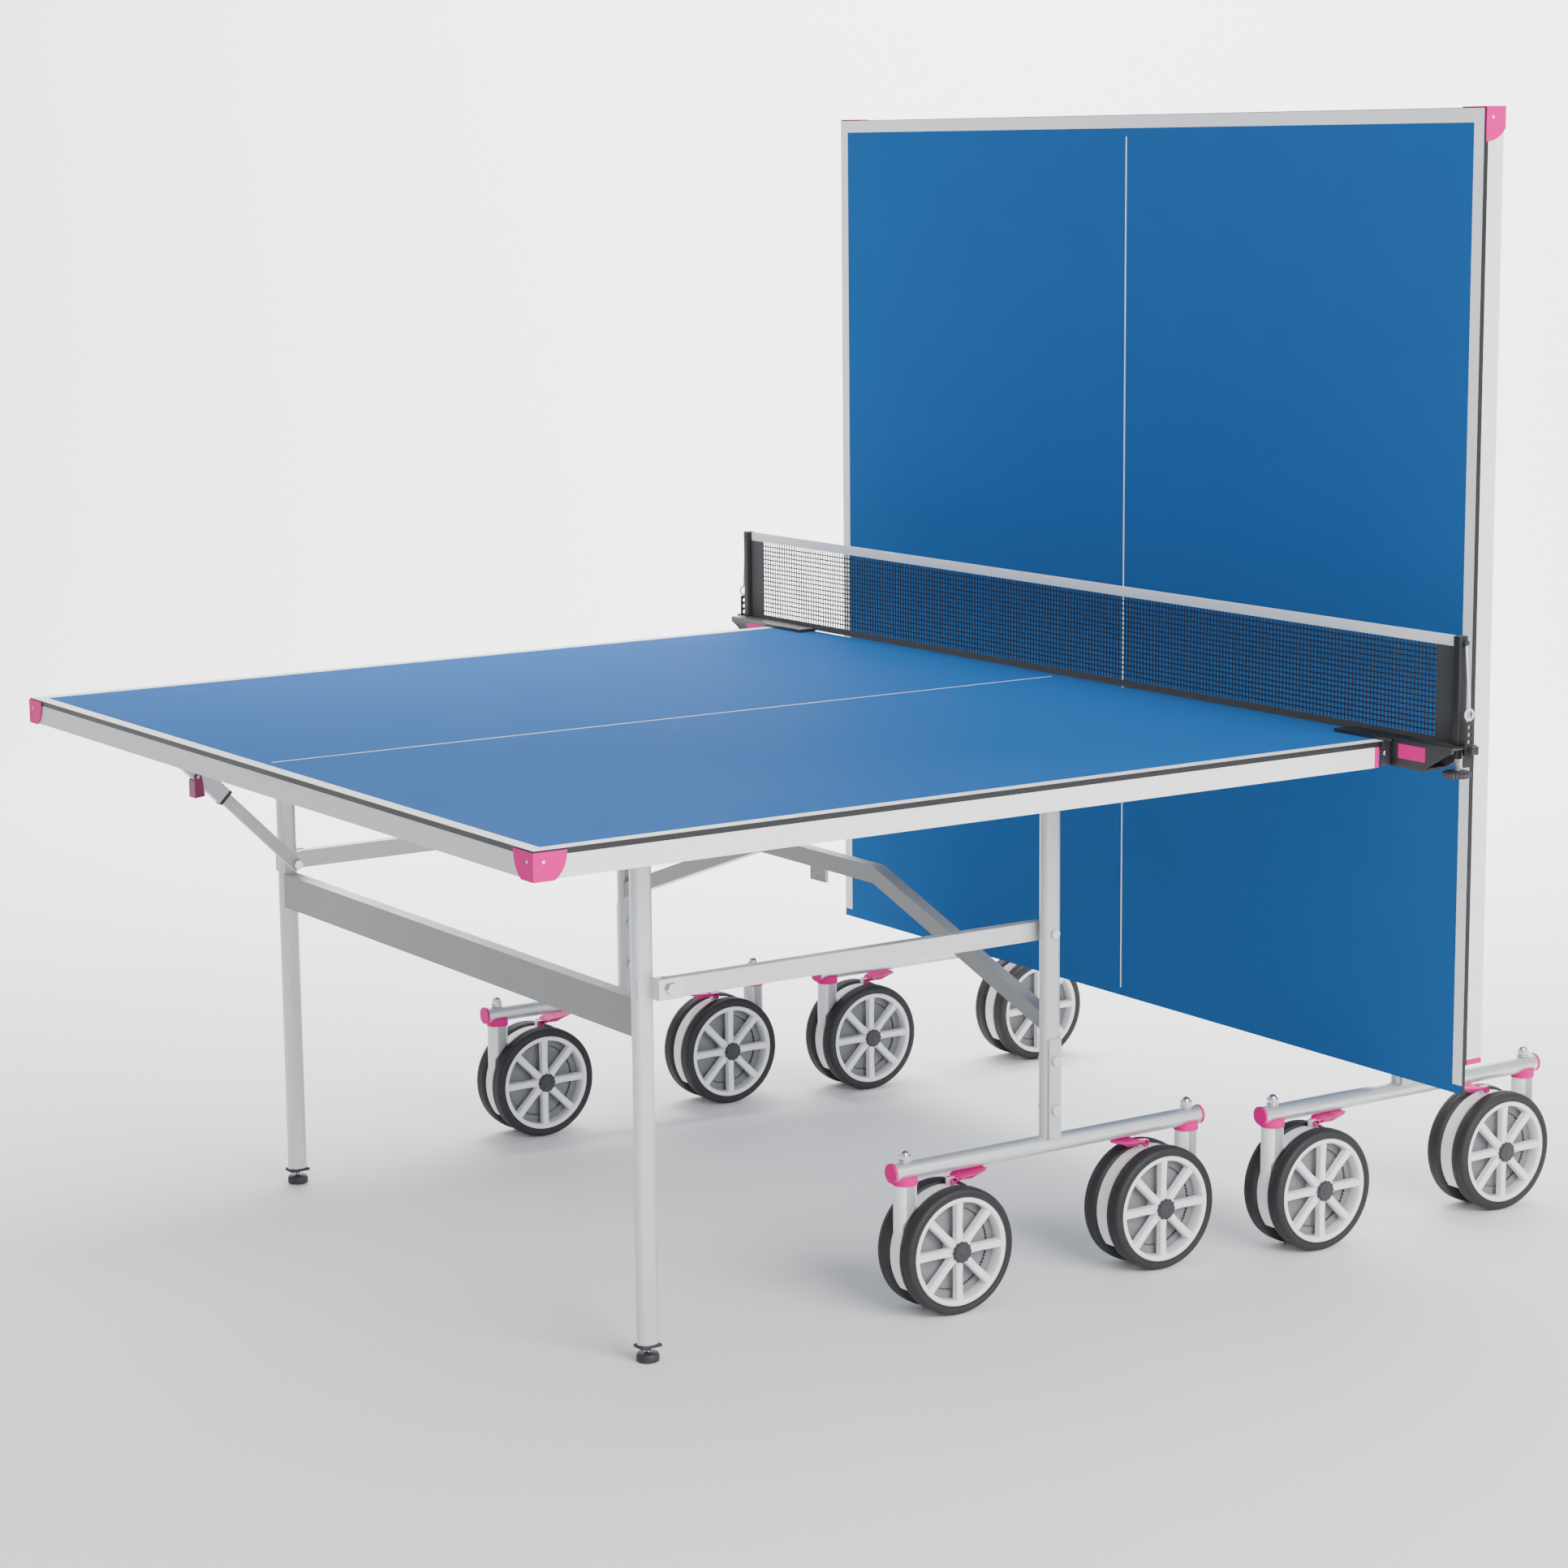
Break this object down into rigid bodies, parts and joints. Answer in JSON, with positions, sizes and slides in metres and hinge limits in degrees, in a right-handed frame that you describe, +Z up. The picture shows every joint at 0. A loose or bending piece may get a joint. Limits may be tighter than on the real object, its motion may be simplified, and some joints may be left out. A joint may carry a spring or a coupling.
{
  "type": "ping pong table",
  "caption": "Rollaway outdoor table tennis table, one half level for play and one folded upright behind the net, on twin-wheel castors with pink trim",
  "frame": {"origin": "middle of the outer box on the floor, with half A level for play and half B upright", "axes": "+X along the table from the level half to the upright half, +Y across the table, +Z up"},
  "size_m": [1.8124, 1.8, 1.6095],
  "materials": {
    "board_blue": "matte",
    "frame_white": "satin",
    "frame_silver": "satin",
    "post_grey": "satin",
    "tube_silver": "brushed",
    "trim_pink": "satin",
    "bolt_chrome": "polished",
    "leg_silver": "satin",
    "stay_white": "satin",
    "foot_black": "matte",
    "castor_white": "satin",
    "tyre_black": "matte",
    "net_black": "matte",
    "clamp_black": "satin",
    "strap_black": "matte"
  },
  "bodies": {
    "base_a": {"posts_a": "post_grey", "tee_bases_a": "tube_silver", "base_trim_a": "trim_pink", "arch_brace_a": "frame_silver", "base_fasteners_a": "bolt_chrome"},
    "top_a": {"top_panel_a": "board_blue", "top_frame_a": "frame_white", "corner_guards_a": "trim_pink", "net_fabric": "net_black", "net_posts": "clamp_black", "net_clamps": "clamp_black", "net_cord_straps": "strap_black"},
    "legs_a": {"leg_frame_a": "leg_silver"},
    "links_a": {"link_bars_a": "leg_silver"},
    "stay_outer_a": {"stay_sleeve_a": "post_grey"},
    "stay_inner_a": {"stay_bar_a": "stay_white"},
    "stay_handle_a": {"stay_release_a": "trim_pink"},
    "foot_near_a": {"foot_near_a": "foot_black"},
    "foot_far_a": {"foot_far_a": "foot_black"},
    "base_b": {"posts_b": "post_grey", "tee_bases_b": "tube_silver", "base_trim_b": "trim_pink", "arch_brace_b": "frame_silver", "base_fasteners_b": "bolt_chrome"},
    "top_b": {"top_panel_b": "board_blue", "top_frame_b": "frame_white", "corner_guards_b": "trim_pink"},
    "legs_b": {"leg_frame_b": "leg_silver"},
    "links_b": {"link_bars_b": "leg_silver"},
    "stay_outer_b": {"stay_sleeve_b": "post_grey"},
    "stay_inner_b": {"stay_bar_b": "stay_white"},
    "stay_handle_b": {"stay_release_b": "trim_pink"},
    "foot_near_b": {"foot_near_b": "foot_black"},
    "foot_far_b": {"foot_far_b": "foot_black"},
    "net_screw_near": {"net_screw_near": "bolt_chrome"},
    "net_screw_far": {"net_screw_far": "bolt_chrome"},
    "castor_near_outer_a": {"castor_fork_near_outer_a": "castor_white"},
    "wheels_near_outer_a": {"castor_wheels_near_outer_a": "tyre_black"},
    "pedal_near_outer_a": {"castor_pedal_near_outer_a": "trim_pink"},
    "castor_near_inner_a": {"castor_fork_near_inner_a": "castor_white"},
    "wheels_near_inner_a": {"castor_wheels_near_inner_a": "tyre_black"},
    "pedal_near_inner_a": {"castor_pedal_near_inner_a": "trim_pink"},
    "castor_far_outer_a": {"castor_fork_far_outer_a": "castor_white"},
    "wheels_far_outer_a": {"castor_wheels_far_outer_a": "tyre_black"},
    "pedal_far_outer_a": {"castor_pedal_far_outer_a": "trim_pink"},
    "castor_far_inner_a": {"castor_fork_far_inner_a": "castor_white"},
    "wheels_far_inner_a": {"castor_wheels_far_inner_a": "tyre_black"},
    "pedal_far_inner_a": {"castor_pedal_far_inner_a": "trim_pink"},
    "castor_far_outer_b": {"castor_fork_far_outer_b": "castor_white"},
    "wheels_far_outer_b": {"castor_wheels_far_outer_b": "tyre_black"},
    "pedal_far_outer_b": {"castor_pedal_far_outer_b": "trim_pink"},
    "castor_far_inner_b": {"castor_fork_far_inner_b": "castor_white"},
    "wheels_far_inner_b": {"castor_wheels_far_inner_b": "tyre_black"},
    "pedal_far_inner_b": {"castor_pedal_far_inner_b": "trim_pink"},
    "castor_near_outer_b": {"castor_fork_near_outer_b": "castor_white"},
    "wheels_near_outer_b": {"castor_wheels_near_outer_b": "tyre_black"},
    "pedal_near_outer_b": {"castor_pedal_near_outer_b": "trim_pink"},
    "castor_near_inner_b": {"castor_fork_near_inner_b": "castor_white"},
    "wheels_near_inner_b": {"castor_wheels_near_inner_b": "tyre_black"},
    "pedal_near_inner_b": {"castor_pedal_near_inner_b": "trim_pink"}
  },
  "joints": [
    {"name": "roll_b", "type": "slide", "parent": "base_a", "child": "base_b", "axis": [1, 0, 0], "range_m": [0, 0.26]},
    {"name": "fold_a", "type": "hinge", "parent": "base_a", "child": "top_a", "pos_m": [0.01325, 0, 0.69], "axis": [0, 1, 0], "range_deg": [0, 90]},
    {"name": "leg_fold_a", "type": "hinge", "parent": "top_a", "child": "legs_a", "pos_m": [-0.58975, 0.03, 0.69], "axis": [0, 1, 0], "range_deg": [-90, 0]},
    {"name": "link_swing_a", "type": "hinge", "parent": "base_a", "child": "links_a", "pos_m": [0.03825, 0.03, 0.503], "axis": [0, 1, 0], "range_deg": [0, 90]},
    {"name": "stay_top_a", "type": "hinge", "parent": "top_a", "child": "stay_outer_a", "pos_m": [-0.77375, 0.516, 0.69], "axis": [0, 1, 0], "range_deg": [-45, 0]},
    {"name": "stay_leg_a", "type": "hinge", "parent": "legs_a", "child": "stay_inner_a", "pos_m": [-0.58975, 0.516, 0.506], "axis": [0, 1, 0], "range_deg": [0, 45]},
    {"name": "trigger_pull_a", "type": "hinge", "parent": "stay_outer_a", "child": "stay_handle_a", "pos_m": [-0.74971, 0.516, 0.65747], "axis": [0, 1, 0], "range_deg": [0, 10], "stiffness_Nm_per_rad": 0.3, "springref_deg": -2.86},
    {"name": "foot_turn_near_a", "type": "hinge", "parent": "legs_a", "child": "foot_near_a", "pos_m": [-0.58975, -0.485, 0.006], "axis": [0, 0, 1], "continuous": true},
    {"name": "foot_turn_far_a", "type": "hinge", "parent": "legs_a", "child": "foot_far_a", "pos_m": [-0.58975, 0.545, 0.006], "axis": [0, 0, 1], "continuous": true},
    {"name": "fold_b", "type": "hinge", "parent": "base_b", "child": "top_b", "pos_m": [0.66225, 0, 0.69], "axis": [0, 1, 0], "range_deg": [0, 90]},
    {"name": "leg_fold_b", "type": "hinge", "parent": "top_b", "child": "legs_b", "pos_m": [0.66225, -0.03, 1.293], "axis": [0, 1, 0], "range_deg": [-90, 0]},
    {"name": "link_swing_b", "type": "hinge", "parent": "base_b", "child": "links_b", "pos_m": [0.63725, -0.03, 0.503], "axis": [0, 1, 0], "range_deg": [0, 90]},
    {"name": "stay_top_b", "type": "hinge", "parent": "top_b", "child": "stay_outer_b", "pos_m": [0.66225, -0.516, 1.477], "axis": [0, 1, 0], "range_deg": [-45, 0]},
    {"name": "stay_leg_b", "type": "hinge", "parent": "legs_b", "child": "stay_inner_b", "pos_m": [0.66225, -0.516, 1.109], "axis": [0, 1, 0], "range_deg": [0, 45]},
    {"name": "trigger_pull_b", "type": "hinge", "parent": "stay_outer_b", "child": "stay_handle_b", "pos_m": [0.66825, -0.516, 1.437], "axis": [0, -1, 0], "range_deg": [0, 10], "stiffness_Nm_per_rad": 0.3, "springref_deg": -2.86},
    {"name": "foot_turn_near_b", "type": "hinge", "parent": "legs_b", "child": "foot_near_b", "pos_m": [0.66225, -0.545, 0.609], "axis": [0, 0, 1], "continuous": true},
    {"name": "foot_turn_far_b", "type": "hinge", "parent": "legs_b", "child": "foot_far_b", "pos_m": [0.66225, 0.485, 0.609], "axis": [0, 0, 1], "continuous": true},
    {"name": "swivel_near_outer_a", "type": "hinge", "parent": "base_a", "child": "castor_near_outer_a", "pos_m": [-0.20675, -0.53, 0.19], "axis": [0, 0, 1], "continuous": true},
    {"name": "spin_near_outer_a", "type": "hinge", "parent": "castor_near_outer_a", "child": "wheels_near_outer_a", "pos_m": [-0.13975, -0.53, 0.089], "axis": [0, 1, 0], "continuous": true},
    {"name": "brake_near_outer_a", "type": "hinge", "parent": "castor_near_outer_a", "child": "pedal_near_outer_a", "pos_m": [-0.12975, -0.53, 0.179], "axis": [0, 1, 0], "range_deg": [0, 10]},
    {"name": "swivel_near_inner_a", "type": "hinge", "parent": "base_a", "child": "castor_near_inner_a", "pos_m": [0.28325, -0.53, 0.19], "axis": [0, 0, 1], "range_deg": [-85, 85]},
    {"name": "spin_near_inner_a", "type": "hinge", "parent": "castor_near_inner_a", "child": "wheels_near_inner_a", "pos_m": [0.21625, -0.53, 0.089], "axis": [0, 1, 0], "continuous": true},
    {"name": "brake_near_inner_a", "type": "hinge", "parent": "castor_near_inner_a", "child": "pedal_near_inner_a", "pos_m": [0.20625, -0.53, 0.179], "axis": [0, -1, 0], "range_deg": [0, 10]},
    {"name": "swivel_far_outer_a", "type": "hinge", "parent": "base_a", "child": "castor_far_outer_a", "pos_m": [-0.20675, 0.59, 0.19], "axis": [0, 0, 1], "continuous": true},
    {"name": "spin_far_outer_a", "type": "hinge", "parent": "castor_far_outer_a", "child": "wheels_far_outer_a", "pos_m": [-0.13975, 0.59, 0.089], "axis": [0, 1, 0], "continuous": true},
    {"name": "brake_far_outer_a", "type": "hinge", "parent": "castor_far_outer_a", "child": "pedal_far_outer_a", "pos_m": [-0.12975, 0.59, 0.179], "axis": [0, 1, 0], "range_deg": [0, 10]},
    {"name": "swivel_far_inner_a", "type": "hinge", "parent": "base_a", "child": "castor_far_inner_a", "pos_m": [0.28325, 0.59, 0.19], "axis": [0, 0, 1], "range_deg": [-85, 85]},
    {"name": "spin_far_inner_a", "type": "hinge", "parent": "castor_far_inner_a", "child": "wheels_far_inner_a", "pos_m": [0.21625, 0.59, 0.089], "axis": [0, 1, 0], "continuous": true},
    {"name": "brake_far_inner_a", "type": "hinge", "parent": "castor_far_inner_a", "child": "pedal_far_inner_a", "pos_m": [0.20625, 0.59, 0.179], "axis": [0, -1, 0], "range_deg": [0, 10]},
    {"name": "swivel_far_outer_b", "type": "hinge", "parent": "base_b", "child": "castor_far_outer_b", "pos_m": [0.88225, 0.53, 0.19], "axis": [0, 0, 1], "continuous": true},
    {"name": "spin_far_outer_b", "type": "hinge", "parent": "castor_far_outer_b", "child": "wheels_far_outer_b", "pos_m": [0.81525, 0.53, 0.089], "axis": [0, 1, 0], "continuous": true},
    {"name": "brake_far_outer_b", "type": "hinge", "parent": "castor_far_outer_b", "child": "pedal_far_outer_b", "pos_m": [0.80525, 0.53, 0.179], "axis": [0, -1, 0], "range_deg": [0, 10]},
    {"name": "swivel_far_inner_b", "type": "hinge", "parent": "base_b", "child": "castor_far_inner_b", "pos_m": [0.39225, 0.53, 0.19], "axis": [0, 0, 1], "range_deg": [-85, 85]},
    {"name": "spin_far_inner_b", "type": "hinge", "parent": "castor_far_inner_b", "child": "wheels_far_inner_b", "pos_m": [0.45925, 0.53, 0.089], "axis": [0, 1, 0], "continuous": true},
    {"name": "brake_far_inner_b", "type": "hinge", "parent": "castor_far_inner_b", "child": "pedal_far_inner_b", "pos_m": [0.46925, 0.53, 0.179], "axis": [0, 1, 0], "range_deg": [0, 10]},
    {"name": "swivel_near_outer_b", "type": "hinge", "parent": "base_b", "child": "castor_near_outer_b", "pos_m": [0.88225, -0.59, 0.19], "axis": [0, 0, 1], "continuous": true},
    {"name": "spin_near_outer_b", "type": "hinge", "parent": "castor_near_outer_b", "child": "wheels_near_outer_b", "pos_m": [0.81525, -0.59, 0.089], "axis": [0, 1, 0], "continuous": true},
    {"name": "brake_near_outer_b", "type": "hinge", "parent": "castor_near_outer_b", "child": "pedal_near_outer_b", "pos_m": [0.80525, -0.59, 0.179], "axis": [0, -1, 0], "range_deg": [0, 10]},
    {"name": "swivel_near_inner_b", "type": "hinge", "parent": "base_b", "child": "castor_near_inner_b", "pos_m": [0.39225, -0.59, 0.19], "axis": [0, 0, 1], "range_deg": [-85, 85]},
    {"name": "spin_near_inner_b", "type": "hinge", "parent": "castor_near_inner_b", "child": "wheels_near_inner_b", "pos_m": [0.45925, -0.59, 0.089], "axis": [0, 1, 0], "continuous": true},
    {"name": "brake_near_inner_b", "type": "hinge", "parent": "castor_near_inner_b", "child": "pedal_near_inner_b", "pos_m": [0.46925, -0.59, 0.179], "axis": [0, 1, 0], "range_deg": [0, 10]},
    {"name": "net_screw_turn_near", "type": "hinge", "parent": "top_a", "child": "net_screw_near", "pos_m": [0.46725, -0.866, 0.74], "axis": [0, 0, 1], "continuous": true},
    {"name": "net_screw_turn_far", "type": "hinge", "parent": "top_a", "child": "net_screw_far", "pos_m": [0.46725, 0.866, 0.74], "axis": [0, 0, 1], "continuous": true}
  ],
  "couplings": [
    {"joint": "leg_fold_a", "follows": "fold_a", "ratio": -1},
    {"joint": "link_swing_a", "follows": "fold_a", "ratio": 1},
    {"joint": "stay_top_a", "follows": "fold_a", "ratio": -0.5},
    {"joint": "stay_leg_a", "follows": "fold_a", "ratio": 0.5},
    {"joint": "leg_fold_b", "follows": "fold_b", "ratio": -1},
    {"joint": "link_swing_b", "follows": "fold_b", "ratio": 1},
    {"joint": "stay_top_b", "follows": "fold_b", "ratio": -0.5},
    {"joint": "stay_leg_b", "follows": "fold_b", "ratio": 0.5},
    {"joint": "roll_b", "follows": "fold_b", "m_per_rad": 0.16489}
  ]
}
